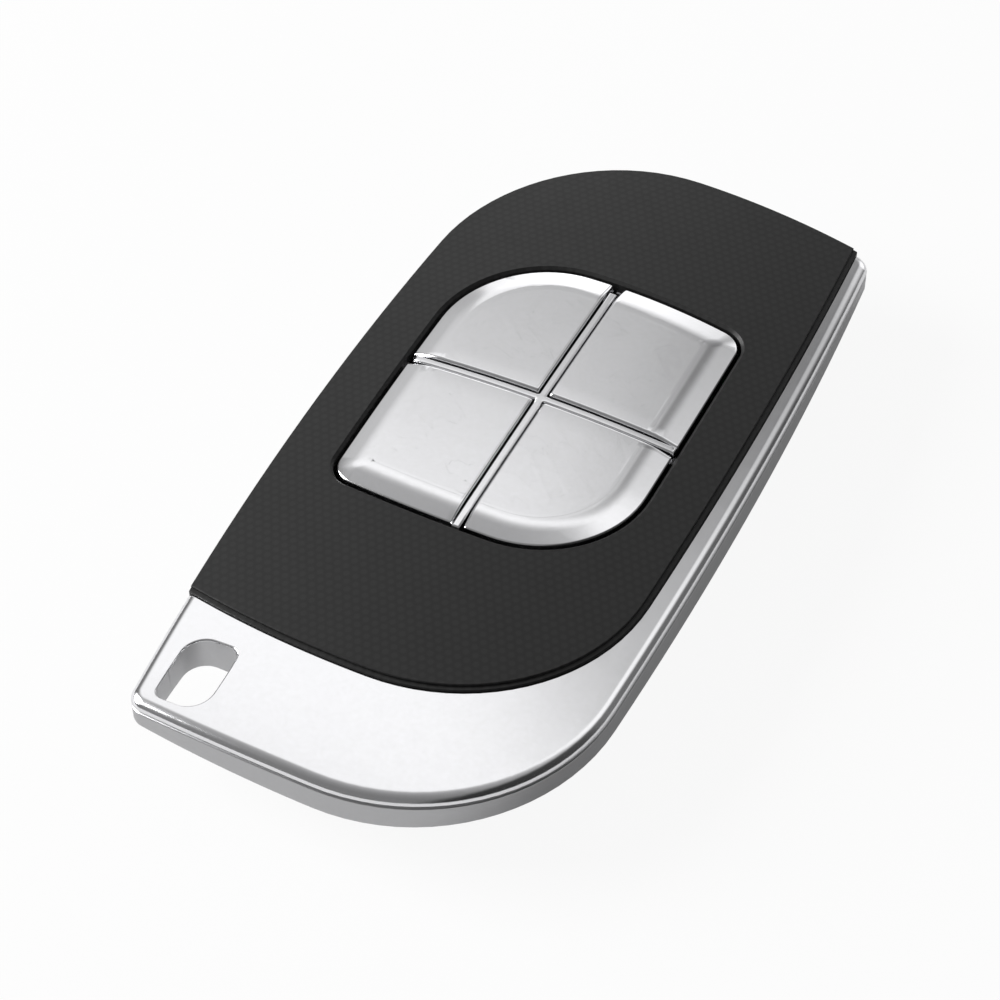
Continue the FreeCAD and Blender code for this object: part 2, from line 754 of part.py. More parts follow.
def key_switches():
    """A low tactile switch under each key: a square body with a round plunger that the key's post rests on."""
    made = []
    half = s("switch_width") / 2
    plunger_bottom = switch_top - s("plunger_engagement")
    for name, (column, row) in keys.items():
        x, y = key_middle(column, row)
        block = box(f"switch_block_{name}", x - half, x + half, y - half, y + half, board_top, switch_top)
        bore = cylinder(
            f"switch_bore_{name}", s("plunger_diameter") + 2 * s("plunger_clearance"), x, y,
            plunger_bottom - s("key_travel") - s("plunger_clearance"), switch_top + PAST)
        switch = cut(f"switch_housing_{name}", block, bore)
        switch.Label = f"switch_{name}"
        plunger = cylinder(f"plunger_bar_{name}", s("plunger_diameter"), x, y, plunger_bottom, plunger_top)
        plunger.Label = f"plunger_{name}"
        made += [switch, plunger]
    return made


def turned(name, label, profile, x, y, z):
    """A PartDesign body turned about its own upright axis from a half section of (radius, height) points."""
    holder = add("PartDesign::Body", name)
    section = holder.newObject("Sketcher::SketchObject", f"{name}_section")
    plane = next(f for f in holder.Origin.OriginFeatures if f.Role == "XZ_Plane")
    section.AttachmentSupport = [(plane, "")]
    section.MapMode = "FlatFace"
    points = [Vector(float(radius), float(height), 0) for radius, height in profile]
    count = len(points)
    for number in range(count):
        section.addGeometry(Part.LineSegment(points[number], points[(number + 1) % count]), False)
    for number in range(count):
        section.addConstraint(Sketcher.Constraint("Coincident", number, 2, (number + 1) % count, 1))
    for number, (radius, height) in enumerate(profile):
        if float(radius):
            tie(section, Sketcher.Constraint("DistanceX", -1, 1, number, 1, float(radius)), radius)
        else:
            section.addConstraint(Sketcher.Constraint("PointOnObject", number, 1, -2))
        if float(height):
            tie(section, Sketcher.Constraint("DistanceY", -1, 1, number, 1, float(height)), height)
        else:
            section.addConstraint(Sketcher.Constraint("PointOnObject", number, 1, -1))
    turn = holder.newObject("PartDesign::Revolution", f"{name}_turn")
    turn.Profile = section
    turn.ReferenceAxis = (section, ["V_Axis"])
    turn.Angle = 360.0
    holder.Tip = turn
    holder.Label = label
    place(holder, x, y, z)
    return holder


def coin_cell():
    """The coin cell, its spring contact below and the clip that bridges it."""
    seat = board_top + s("contact_thickness")
    radius, edge, step = s("battery_diameter") / 2, s("battery_edge"), s("battery_cap_step")
    cell = turned(
        "coin_cell", "coin_battery",
        [(ZERO, ZERO), (radius - step, ZERO), (radius - step, edge), (radius, 2 * edge),
         (radius, s("battery_thickness") - edge), (radius - edge, s("battery_thickness")),
         (ZERO, s("battery_thickness"))],
        battery_x, battery_y, seat)
    contact = cut(
        "contact_ring",
        cylinder("contact_disc", s("contact_diameter"), battery_x, battery_y, board_top, seat),
        cylinder("contact_hole", s("contact_hole_diameter"), battery_x, battery_y, board_top - PAST, seat + PAST),
    )
    contact.Label = "battery_contact"

    inside = radius + s("clip_clearance")
    outside = inside + s("clip_thickness")
    half = s("clip_width") / 2
    under, over = seat + s("battery_thickness"), seat + s("battery_thickness") + s("clip_thickness")
    low, high = battery_y - half, battery_y + half
    strap = box("clip_strap", battery_x - outside, battery_x + outside, low, high, under, over)
    sides = []
    for name, side in (("left", -1), ("right", 1)):
        leg_x = sorted((battery_x + side * inside, battery_x + side * outside))
        foot_x = sorted((battery_x + side * inside, battery_x + side * (outside + s("clip_foot"))))
        sides.append(box(f"clip_leg_{name}", *leg_x, low, high, board_top, over))
        sides.append(box(f"clip_foot_{name}", *foot_x, low, high, board_top, board_top + s("clip_thickness")))
    clip = fuse("clip_joined", strap, *sides)
    clip.Label = "battery_clip"
    return [cell, contact, clip]


def grouped(label, pieces):
    """Several like solids kept as one sub-part."""
    group = add("Part::Compound", f"{label}_group")
    group.Links = pieces
    group.Label = label
    return group


def block_on_board(name, x, y, length, width, height):
    """A small flat component centred on a point of the board."""
    return box(name, x - length / 2, x + length / 2, y - width / 2, y + width / 2, board_top, board_top + height)


def electronics():
    """Controller, radio, crystal, loop antenna and the small capacitors and resistors."""
    head_y = pad_y + s("pad_length") / 2 + s("head_parts_above_pad")
    controller = block_on_board("controller_block", pad_x, pad_y, s("controller_length"), s("controller_width"),
                                s("chip_height"))
    controller.Label = "controller_chip"
    radio_x = pad_x - s("radio_width") / 2
    radio_y = head_y + s("radio_width") / 2 + s("part_spacing") / 2
    crystal_y = head_y - s("crystal_width") / 2 - s("part_spacing") / 2
    radio = block_on_board("radio_block", radio_x, radio_y, s("radio_width"), s("radio_width"), s("chip_height"))
    radio.Label = "radio_chip"
    crystal = block_on_board("crystal_block", radio_x, crystal_y, s("crystal_length"), s("crystal_width"),
                             s("crystal_height"))
    crystal.Label = "crystal_can"
    antenna_x = pad_x + s("antenna_radius") + s("part_spacing")
    antenna_top = board_top + s("antenna_height")
    loop = cut(
        "antenna_loop",
        cylinder("antenna_disc", 2 * s("antenna_radius") + s("antenna_width"), antenna_x, head_y,
                 board_top, antenna_top),
        cylinder("antenna_inside", 2 * s("antenna_radius") - s("antenna_width"), antenna_x, head_y,
                 board_top - PAST, antenna_top + PAST),
        box("antenna_slot", antenna_x, antenna_x + 2 * s("antenna_radius"), head_y - s("antenna_slot") / 2,
            head_y + s("antenna_slot") / 2, board_top - PAST, antenna_top + PAST),
    )
    loop.Label = "loop_antenna"

    long_side, short_side, pitch = s("chip_part_length"), s("chip_part_width"), s("chip_part_pitch")
    row_y = s("controller_width") / 2 + s("part_spacing") + long_side / 2
    capacitors = [
        block_on_board(f"capacitor_{row}_{column}", pad_x + (column - 1) * pitch, pad_y + row * row_y,
                       short_side, long_side, short_side)
        for row in (-1, 1) for column in range(3)
    ]
    resistors = [
        block_on_board(f"resistor_{number}", pad_x + s("resistors_right") + number * pitch, pad_y,
                       short_side, long_side, short_side / 2)
        for number in range(4)
    ]
    return [controller, radio, crystal, loop, grouped("chip_capacitors", capacitors),
            grouped("chip_resistors", resistors)]


def cover_screws():
    """Three pan-head screws that clamp both shells and the board from behind."""
    head, shank = s("screw_head_diameter") / 2, s("screw_diameter") / 2
    tall = board_top + s("screw_engagement") - s("screw_head_sunk")
    profile = [(ZERO, ZERO), (head, ZERO), (head, s("screw_head_height")), (shank, s("screw_head_height")),
               (shank, tall - shank / 2), (shank / 2, tall), (ZERO, tall)]
    screws = [
        turned(f"screw_{name}", f"screw_{name}", profile, x, y, s("screw_head_sunk"))
        for name, (x, y) in screw_places.items()
    ]
    return [grouped("cover_screws", screws)]


def check(pieces):
    """Stop at the first object or sub-part that failed to build."""
    failed = [thing.Name for thing in doc.Objects if "Invalid" in thing.State or "Error" in thing.State]
    if failed:
        raise RuntimeError(f"failed objects: {failed}")
    for piece in pieces:
        if piece.Shape.isNull() or not piece.Shape.isValid():
            raise RuntimeError(f"no sound shape: {piece.Label}")


pieces = upper_shell()
pieces += lower_shell()
pieces += top_cover()
pieces += key_caps()
pieces += circuit_board()
pieces += key_switches()
pieces += coin_cell()
pieces += electronics()
pieces += cover_screws()
doc.recompute()
check(pieces)

os.makedirs("parts", exist_ok=True)
for piece in pieces:
    piece.Shape.exportStep(f"parts/{piece.Label}.step")
    box_of = piece.Shape.BoundBox
    print(f"{piece.Label}: {len(piece.Shape.Solids)} solid(s), {piece.Shape.Volume:.1f} mm3, "
          f"z {box_of.ZMin:.2f} to {box_of.ZMax:.2f}")
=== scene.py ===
import json
import math

import bpy
from mathutils import Matrix, Vector


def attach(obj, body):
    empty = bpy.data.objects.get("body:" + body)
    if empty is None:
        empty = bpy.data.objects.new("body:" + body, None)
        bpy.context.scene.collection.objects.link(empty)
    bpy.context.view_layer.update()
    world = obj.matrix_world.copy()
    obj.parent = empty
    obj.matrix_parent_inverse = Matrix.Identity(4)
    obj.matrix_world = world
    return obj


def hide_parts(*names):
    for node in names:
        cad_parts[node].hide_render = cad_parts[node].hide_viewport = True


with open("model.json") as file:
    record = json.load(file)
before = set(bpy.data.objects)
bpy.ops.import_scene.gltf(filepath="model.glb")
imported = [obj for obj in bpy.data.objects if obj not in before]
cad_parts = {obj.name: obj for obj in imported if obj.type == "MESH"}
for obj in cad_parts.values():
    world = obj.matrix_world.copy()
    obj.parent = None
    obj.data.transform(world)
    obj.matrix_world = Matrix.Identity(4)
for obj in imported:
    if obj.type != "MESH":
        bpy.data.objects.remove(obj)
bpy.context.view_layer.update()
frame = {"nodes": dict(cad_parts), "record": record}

# A four-key gate remote control that lies on its back: a leaf-shaped fob of bright silver with a
# black plate let into it, four bright keys and a key eye in the lower left corner.
#
# The shells, the plate and the keys are first built flat, and then their tops are bent down to all
# sides. All heights and widths below are those of the flat state.

MM = 0.001

# The crown of the top, across and lengthwise, and how far apart new edges are cut for the bend.
CROWN_RADIUS = 124.0 * MM
LENGTH_CROWN_RADIUS = 480.0 * MM
CROWN_STEPS = (2.5 * MM, 5.0 * MM)

# The silver rim and the parting line between the shells.
SILVER_TOP = 10.2 * MM
RIM_BOTTOM = 5.2 * MM
RIM_FILLET = 0.7 * MM
RIM_FILLET_WIDTH = 0.85 * MM
RIM_BORDER = 0.12 * MM
PARTING = 9.28 * MM
PARTING_GAP = 0.12 * MM
PARTING_ROUND = 0.25 * MM
PARTING_CHAMFER = 0.2 * MM

# The shells' walls and the seat of the plate.
BODY_WALL = 1.5 * MM
SHELL_PLAY = 0.1 * MM
INNER_CORNER = 0.8 * MM
ROOF_BOTTOM = 7.8 * MM
SEAT = 9.5 * MM

# The belly of the lower shell: its flat middle, the slope up to the brim and the room inside.
BELLY_INSET = 4.0 * MM
BELLY_BRIM = 0.3 * MM
BELLY_ROUND = 2.0 * MM
BELLY_CORNER = 3.0 * MM
BELLY_CORNER_LOSS = 2.05 * MM
BELLY_STEPS = 5
HOLLOW_BOTTOM = 1.2 * MM
HOLLOW_INSET_LOW = 0.6 * MM
HOLLOW_INSET_HIGH = 1.2 * MM

# The black plate with its wider foot.
PLATE_BOTTOM = 9.54 * MM
PLATE_TOP = 10.7 * MM
PLATE_STEP_WIDTH = 0.38 * MM
PLATE_STEP_HEIGHT = 10.44 * MM
PLATE_STEP_CORNER = 0.25 * MM
PLATE_EDGE = 0.06 * MM
PLATE_CHAMFER = 0.25 * MM
PLATE_INSET = 0.12 * MM
PLATE_PLAY = 0.08 * MM
PLATE_OVERRUN = 2 * MM

# The keys, and the bars of the upper shell in the gaps between them.
KEY_TOP = 11.0 * MM
KEY_BOTTOM = 7.6 * MM
KEY_GAP = 1.0 * MM
KEY_CLEARANCE = 0.35 * MM
KEY_BEVEL_WIDTH = 2.0 * MM
KEY_BEVEL_DROP = 0.45 * MM
KEY_EDGE = 0.2 * MM
KEY_BLEND = 0.8 * MM
KEY_BLEND_STEPS = 8
KEY_BLEND_BORDER = 0.15 * MM
KEY_CORNER = 0.8 * MM
KEY_ROLL = 0.28 * MM
KEY_ROLL_SHARES = (0.08, 0.25, 0.55, 1.0)
KEY_ROLL_DEPTH = 1.2 * MM
BAR_TOP = 10.8 * MM
BAR_CLEARANCE = 0.15 * MM
BAR_ROUND = 0.2 * MM
BAR_SHORT_HEAD = 1.2 * MM
BAR_SHORT_LEFT = 0.45 * MM
BAR_ROOT_DEPTH = 0.1 * MM

# The key eye: the round land about it, its collar and the soft edge at the top.
EYE_LAND = 6.8 * MM
EYE_BEVEL = 0.16 * MM
COLLAR_WALL = 0.6 * MM
COLLAR_CLEARANCE = 0.05 * MM
COLLAR_DEPTH = 0.5 * MM

# The three screws from behind, placed from the middle and the ends of the key pad.
SCREW_ABOVE, SCREW_BELOW = 4.8 * MM, 3.8 * MM
SCREW_LEFT, SCREW_RIGHT, SCREW_LOW_LEFT = 6.0 * MM, 10.7 * MM, 9.0 * MM
PILLAR_RADIUS, PILLAR_BOTTOM, PILLAR_TOP = 2.5 * MM, 0.6 * MM, 2.4 * MM
WELL_RADIUS, WELL_TOP = 1.95 * MM, 1.4 * MM
HEAD_RADIUS, HEAD_BOTTOM, HEAD_ROUND = 1.8 * MM, 0.3 * MM, 0.35 * MM
SHANK_RADIUS, SHANK_BOTTOM, SHANK_TOP = 1.0 * MM, 1.3 * MM, 6.0 * MM
RECESS_ARM, RECESS_THIN, RECESS_DEEP = 1.05 * MM, 0.2 * MM, 0.95 * MM

# Above everything, how near counts as the same, and the fineness of curves and shading.
HIGH = 14.0 * MM
SLICE_SNAP = 1e-8
WELD = 1e-7
TOUCH = 1e-6
CURVE_STEPS = 20
RIM_STEPS = 10
PARTING_STEPS = 4
SMOOTH_ANGLE = 35.0
KEY_SMOOTH_ANGLE = 50.0
NORMAL_WEIGHT = 50


def only(obj):
    """Select one object alone and make it the active one."""
    bpy.ops.object.select_all(action="DESELECT")
    obj.select_set(True)
    bpy.context.view_layer.objects.active = obj


def edit(obj):
    """Open one object's mesh for editing."""
    only(obj)
    bpy.ops.object.mode_set(mode="EDIT")


def done():
    """Close the mesh that is open for editing."""
    bpy.ops.object.mode_set(mode="OBJECT")


class Leaf:
    """An outline of eight arcs, with large corners at the upper left and lower right."""

    def __init__(self, width, length, big, small, side_bow, end_bow, x=0.0, y=0.0):
        """All sizes in millimetres: the bows are the radii of the long sides and of the ends."""
        self.half_width, self.half_length = width / 2 * MM, length / 2 * MM
        self.big, self.small = big * MM, small * MM
        self.side_bow, self.end_bow = side_bow * MM, end_bow * MM
        self.centre = Vector((x * MM, y * MM, 0.0))

    def grown(self, grow, small=None, left=0.0, right=0.0, upper=0.0, lower=0.0):
        """The same outline moved outwards all round, with any side moved on its own."""
        other = object.__new__(Leaf)
        other.half_width = self.half_width + grow + (left + right) / 2
        other.half_length = self.half_length + grow + (upper + lower) / 2
        other.big = self.big + grow
        other.small = self.small + grow if small is None else small
        other.side_bow, other.end_bow = self.side_bow + grow, self.end_bow + grow
        other.centre = self.centre + Vector(((right - left) / 2, (upper - lower) / 2, 0.0))
        return other

    def arcs(self):
        """Centre and radius of the eight arcs, anticlockwise from the right side."""
        right = Vector((self.half_width - self.side_bow, 0.0, 0.0))
        upper = Vector((0.0, self.half_length - self.end_bow, 0.0))
        sides = {(1, 0): (right, self.side_bow), (-1, 0): (-right, self.side_bow),
                 (0, 1): (upper, self.end_bow), (0, -1): (-upper, self.end_bow)}
        order = [(1, 0), (1, 1), (0, 1), (-1, 1), (-1, 0), (-1, -1), (0, -1), (1, -1)]
        arcs = []
        for way in order:
            if way in sides:
                arcs.append(sides[way])
            else:
                radius = self.small if way[0] == way[1] else self.big
                side, end = sides[(way[0], 0)], sides[(0, way[1])]
                arcs.append((self.corner(side, end, radius, way), radius))
        return arcs

    @staticmethod
    def corner(side, end, radius, way):
        """Centre of the arc that touches a side and an end from inside."""
        gap = end[0] - side[0]
        reach_side, reach_end = side[1] - radius, end[1] - radius
        along = (gap.length ** 2 + reach_side ** 2 - reach_end ** 2) / (2 * gap.length)
        across = math.sqrt(reach_side ** 2 - along ** 2)
        foot = side[0] + gap.normalized() * along
        normal = Vector((-gap.y, gap.x, 0.0)).normalized()
        choices = (foot + normal * across, foot - normal * across)
        return max(choices, key=lambda point: point.x * way[0] + point.y * way[1])

    def loop(self, z):
        """The outline as a closed line of edges at a height."""
        arcs = self.arcs()
        joints = []
        for (centre, radius), (other, other_radius) in zip(arcs, arcs[1:] + arcs[:1]):
            if radius > other_radius:
                joints.append(centre + (other - centre).normalized() * radius)
            else:
                joints.append(other + (centre - other).normalized() * other_radius)
        bpy.ops.object.select_all(action="DESELECT")
        bpy.ops.curve.primitive_bezier_circle_add(radius=self.half_width)
        curve = bpy.context.object
        bpy.ops.object.mode_set(mode="EDIT")
        bpy.ops.curve.subdivide(number_cuts=1)
        done()
        curve.data.dimensions = "3D"
        curve.data.resolution_u = CURVE_STEPS
        points = curve.data.splines[0].bezier_points
        up = Vector((0.0, 0.0, z))
        for number, joint in enumerate(joints):
            following = (number + 1) % len(arcs)
            before, after = arcs[number], arcs[following]
            start, end = joints[number - 1] - before[0], joint - before[0]
            begin, ahead = joint - after[0], joints[following] - after[0]
            tangent = Vector((-begin.y, begin.x, 0.0)).normalized()
            back_length = 4 / 3 * math.tan(start.angle(end) / 4) * before[1]
            fore_length = 4 / 3 * math.tan(begin.angle(ahead) / 4) * after[1]
            point = points[number]
            point.handle_left_type = point.handle_right_type = "FREE"
            point.co = self.centre + joint + up
            point.handle_left = self.centre + joint - tangent * back_length + up
            point.handle_right = self.centre + joint + tangent * fore_length + up
        bpy.ops.object.convert(target="MESH")
        return bpy.context.object


BODY = Leaf(37.3, 74.7, 18.0, 1.7, 420.0, 137.0)
PLATE = Leaf(35.3, 64.1, 17.3, 0.4, 420.0, 68.0, x=-0.88, y=5.18)
PAD = Leaf(25.0, 31.3, 10.0, 2.1, 700.0, 88.0, x=-0.78, y=5.18)
EYE = Leaf(4.6, 6.5, 2.1, 0.9, 60.0, 30.0, x=-13.005, y=-31.9)
PAD_X, PAD_Y = PAD.centre.x, PAD.centre.y
EYE_X, EYE_Y = EYE.centre.x, EYE.centre.y


def open_edges():
    """Select the loose loop and the open edge of the mesh in edit mode."""
    bpy.ops.mesh.select_mode(type="EDGE")
    bpy.ops.mesh.select_all(action="DESELECT")
    bpy.ops.mesh.select_non_manifold(extend=False, use_wire=True, use_boundary=True,
                                     use_multi_face=False, use_non_contiguous=False,
                                     use_verts=False)


def stack(name, rings):
    """A closed solid bridged through a row of (outline, height) rings, capped at both ends.

    A ring at the height of the one before it is bridged from a little above and then put down.
    """
    first = rings[0][0].loop(rings[0][1])
    edit(first)
    bpy.ops.mesh.select_all(action="SELECT")
    bpy.ops.mesh.edge_face_add()
    done()
    for (_, below), (outline, z) in zip(rings, rings[1:]):
        lift = MM if abs(z - below) < WELD else 0.0
        ring = outline.loop(z + lift)
        only(first)
        ring.select_set(True)
        bpy.ops.object.join()
        edit(first)
        open_edges()
        bpy.ops.mesh.bridge_edge_loops()
        open_edges()
        bpy.ops.transform.translate(value=(0.0, 0.0, -lift))
        done()
    edit(first)
    open_edges()
    bpy.ops.mesh.edge_face_add()
    bpy.ops.mesh.select_all(action="SELECT")
    bpy.ops.mesh.normals_make_consistent(inside=False)
    done()
    first.name = name
    return first


def prism(name, outline, low, high):
    """A solid with the same outline from one height to another."""
    return stack(name, [(outline, low), (outline, high)])


def round_edge(outline, low, radius, stop=90.0, steps=5, width=None):
    """Rings of a rounded edge: the outline is inset as the height rises along a quarter round."""
    rings = []
    for number in range(steps + 1):
        turn = math.radians(stop * number / steps)
        shift = (width or radius) * (1 - math.cos(turn))
        rings.append((outline.grown(-shift), low + radius * math.sin(turn)))
    return rings


def settle(name):
    """Put the active object's place into its mesh, name it and give it back."""
    bpy.ops.object.transform_apply(location=True, rotation=True, scale=True)
    bpy.context.object.name = name
    return bpy.context.object


def box(name, low, high):
    """A block between two corners."""
    bpy.ops.object.select_all(action="DESELECT")
    low, high = Vector(low), Vector(high)
    bpy.ops.mesh.primitive_cube_add(size=1.0, location=(low + high) / 2, scale=high - low)
    return settle(name)


def bar(name, radius, x, y, low, high, sides=64):
    """An upright round bar."""
    bpy.ops.object.select_all(action="DESELECT")
    bpy.ops.mesh.primitive_cylinder_add(vertices=sides, radius=radius, depth=high - low,
                                        location=(x, y, (low + high) / 2))
    return settle(name)


def boolean(obj, way, *tools):
    """Cut, join or keep in common with other solids, which are used up."""
    for tool in tools:
        only(obj)
        step = obj.modifiers.new("step", "BOOLEAN")
        step.operation, step.object, step.solver = way, tool, "EXACT"
        bpy.ops.object.modifier_apply(modifier=step.name)
        bpy.data.objects.remove(tool, do_unlink=True)
    return obj


def bevel_edges(obj, chosen, width, segments):
    """Bevel the edges whose ends both pass a test."""
    edit(obj)
    bpy.ops.mesh.select_mode(type="EDGE")
    bpy.ops.mesh.select_all(action="DESELECT")
    done()
    for edge in obj.data.edges:
        edge.select = all(chosen(obj.data.vertices[n].co) for n in edge.vertices)
    edit(obj)
    bpy.ops.mesh.bevel(offset=width, segments=segments, affect="EDGES", clamp_overlap=True)
    done()


def slice_across(obj, axis, places):
    """Cut new edges right through the mesh at places along one axis."""
    edit(obj)
    normal = [float(axis == n) for n in range(3)]
    for place in places:
        bpy.ops.mesh.select_all(action="SELECT")
        bpy.ops.mesh.bisect(plane_co=[place * part for part in normal], plane_no=normal,
                            threshold=SLICE_SNAP)
    done()


def crown_drop(x, y):
    """How far the top, crowned strongly across and gently lengthwise, lies below its summit."""
    across = LENGTH_CROWN_RADIUS - CROWN_RADIUS + math.sqrt(CROWN_RADIUS ** 2 - x ** 2)
    return LENGTH_CROWN_RADIUS - math.sqrt(across ** 2 - y ** 2)


def press_crown(obj, still=None, moving=None):
    """Bend the flat solid down to all sides.

    Below the height still nothing moves, above the height moving all of it does. Without them
    the whole solid moves.
    """
    for axis, step in enumerate(CROWN_STEPS):
        places = [corner[axis] for corner in obj.bound_box]
        first, last = math.ceil(min(places) / step), math.floor(max(places) / step)
        slice_across(obj, axis, [(number + 0.5) * step for number in range(first - 1, last + 1)])
    for vertex in obj.data.vertices:
        share = 1.0
        if still is not None:
            share = min(1.0, max(0.0, (vertex.co.z - still) / (moving - still)))
        vertex.co.z -= crown_drop(vertex.co.x, vertex.co.y) * share
    obj.data.update()


def finish_surface(obj, angle=SMOOTH_ANGLE, weld=True):
    """Close doubles, turn the faces outwards and shade smooth between the sharp edges."""
    edit(obj)
    bpy.ops.mesh.select_all(action="SELECT")
    if weld:
        bpy.ops.mesh.remove_doubles(threshold=WELD)
    bpy.ops.mesh.normals_make_consistent(inside=False)
    done()
    only(obj)
    bpy.ops.object.shade_smooth_by_angle(angle=math.radians(angle))
    weight = obj.modifiers.new("weight", "WEIGHTED_NORMAL")
    weight.mode, weight.weight, weight.keep_sharp = "FACE_AREA_WITH_ANGLE", NORMAL_WEIGHT, True
    bpy.ops.object.modifier_apply(modifier=weight.name)


def dress(obj, name, body, slot, *nodes):
    """Name a finished piece, let it ride on its body and stand for its nodes."""
    obj.name = name
    obj.data.name = name
    obj.data.materials.clear()
    obj.data.materials.append(FINISHES[slot])
    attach(obj, body)
    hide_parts(*nodes)


class Value:
    """A shader value or colour that can be used in sums."""

    tree = None

    def __init__(self, socket):
        self.socket = socket

    @classmethod
    def node(cls, kind, settings=None, output=0, **inputs):
        """Add a node, set it up, feed its sockets and give back one output.

        An input is named by its socket's name, or by n and its number.
        """
        node = cls.tree.nodes.new(kind)
        for name, value in (settings or {}).items():
            if name == "stops":
                ramp = node.color_ramp
                while len(ramp.elements) < len(value):
                    ramp.elements.new(0.5)
                for element, (place, tone) in zip(ramp.elements, value):
                    element.position, element.color = place, (tone, tone, tone, 1.0)
            else:
                setattr(node, name, value)
        for name, value in inputs.items():
            numbered = name[0] == "n" and name[1:].isdigit()
            socket = node.inputs[int(name[1:]) if numbered else name.replace("_", " ")]
            if isinstance(value, Value):
                cls.tree.links.new(value.socket, socket)
            else:
                socket.default_value = value
        return cls(node.outputs[output])

    @staticmethod
    def calc(operation, *terms):
        """A Math node on one or two terms."""
        feeds = {f"n{number}": term for number, term in enumerate(terms)}
        return Value.node("ShaderNodeMath", {"operation": operation}, **feeds)

    def __add__(self, other):
        return self.calc("ADD", self, other)

    def __sub__(self, other):
        return self.calc("SUBTRACT", self, other)

    def __rsub__(self, other):
        return self.calc("SUBTRACT", other, self)

    def __mul__(self, other):
        return self.calc("MULTIPLY", self, other)

    def __truediv__(self, other):
        return self.calc("DIVIDE", self, other)

    def clamped(self):
        """Kept between 0 and 1."""
        return Value.node("ShaderNodeClamp", n0=self)

    def between(self, low, high, smooth=True):
        """0 below low, 1 above high."""
        kind = "SMOOTHSTEP" if smooth else "LINEAR"
        return Value.node("ShaderNodeMapRange", {"interpolation_type": kind}, Value=self,
                          From_Min=low, From_Max=high)


def place_on_piece():
    """The point on the piece, in object coordinates."""
    return Value.node("ShaderNodeTexCoord", output=3)


def parts_of(vector):
    """The three parts of a vector."""
    node = Value.tree.nodes.new("ShaderNodeSeparateXYZ")
    Value.tree.links.new(vector.socket, node.inputs[0])
    return [Value(output) for output in node.outputs]


def blend_colours(share, first, second):
    """A colour that goes from the first to the second as the share rises."""
    return Value.node("ShaderNodeMix", {"data_type": "RGBA"}, output=2,
                      n0=share, n6=first, n7=second)


def noise(scale, detail=2.0):
    """Soft random values from 0 to 1 with grains of about 1 / scale metres."""
    return Value.node("ShaderNodeTexNoise", Vector=place_on_piece(), Scale=scale, Detail=detail)


def grey(level, tint=0.0):
    """A grey, with a little more blue if tinted."""
    return (level, level, level * (1 + tint), 1.0)


def material(name, base, roughness, bump=None, **fixed):
    """A principled material.

    Base and roughness are fixed or are made by a function, as the bump's height, distance and
    strength are. The other sockets are the same all over.
    """
    made = bpy.data.materials.new(name)
    made.use_nodes = True
    Value.tree = made.node_tree
    shader = Value.tree.nodes["Principled BSDF"]
    feeds = {"Base Color": base, "Roughness": roughness}
    if bump:
        height, distance, strength = bump()
        feeds["Normal"] = Value.node("ShaderNodeBump", Height=height, Distance=distance,
                                     Strength=strength)
    for key, value in feeds.items():
        value = value() if callable(value) else value
        if isinstance(value, Value):
            Value.tree.links.new(value.socket, shader.inputs[key])
        else:
            shader.inputs[key].default_value = value
    for key, value in fixed.items():
        shader.inputs[key.replace("_", " ")].default_value = value
    return made


def silver(name, bright, rough):
    """Metal-coloured satin plating: a fine flake and a little uneven gloss."""
    darker, lighter = grey(bright * 0.97, tint=0.012), grey(bright * 1.03, tint=0.025)
    flake_depth, flake_strength, uneven = 0.0002 * MM, 0.3, 0.02
    return material(
        name,
        lambda: blend_colours(noise(2600.0, detail=3.0), darker, lighter),
        lambda: noise(900.0, detail=4.0).between(0.25, 0.8) * uneven + (rough - uneven / 2),
        lambda: (noise(5200.0), flake_depth, flake_strength),
        Metallic=1.0,
    )


def plate_cells():
    """The plate's fine pattern: staggered rows of shallow round dimples, 0 in their middles."""
    pitch, row, squash = 0.82 * MM, 0.71 * MM, 0.75
    above_zero, middle, flat, border = 1000.0, 0.5, 0.18, 0.46
    x, y, _ = parts_of(place_on_piece())
    level = y / row
    odd = Value.calc("MODULO", Value.calc("FLOOR", level) + above_zero, 2.0)
    across = Value.calc("FRACT", x / pitch + odd * 0.5) - middle
    along = Value.calc("FRACT", level) - middle
    far = Value.calc("SQRT", across * across + along * along * squash)
    return far.between(flat, border)


def black_plate():
    """Matt black moulding with a fine regular dimple pattern."""
    dimple_depth, dimple_strength = 0.015 * MM, 0.3

    def base():
        spread = noise(300.0, detail=3.0) * 0.4 + plate_cells() * 0.6
        return blend_colours(spread, grey(0.020), grey(0.012))

    return material("black_plate", base,
                    lambda: noise(700.0, detail=3.0) * 0.12 + 0.42,
                    lambda: (plate_cells(), dimple_depth, dimple_strength),
                    Specular_IOR_Level=0.3)


def moulded(name, colour, rough, grain=900.0, metallic=0.0):
    """A plain inner material with a fine grain and slightly uneven colour."""
    darker, full = (*[part * 0.88 for part in colour], 1.0), (*colour, 1.0)
    grain_depth, grain_strength, uneven = 0.01 * MM, 0.2, 0.15
    return material(
        name,
        lambda: blend_colours(noise(grain, detail=3.0), darker, full),
        lambda: noise(grain * 0.6) * uneven + (rough - 0.07),
        lambda: (noise(grain * 2.0), grain_depth, grain_strength),
        Metallic=metallic,
    )


def board_green():
    """Solder mask with copper tracks showing through it."""
    sway, half_pitch, track_low, track_high = 4 * MM, 0.9 * MM, 0.2 * MM, 0.26 * MM
    plain, over_track = (0.012, 0.09, 0.035, 1.0), (0.03, 0.16, 0.05, 1.0)
    grain_depth, grain_strength = 0.01 * MM, 0.2

    def base():
        x, _, _ = parts_of(place_on_piece())
        run = Value.calc("PINGPONG", x + noise(90.0) * sway, half_pitch)
        return blend_colours(1 - run.between(track_low, track_high), plain, over_track)

    return material("board_green", base,
                    lambda: noise(800.0) * 0.1 + 0.3,
                    lambda: (noise(1500.0), grain_depth, grain_strength),
                    Coat_Weight=0.3)
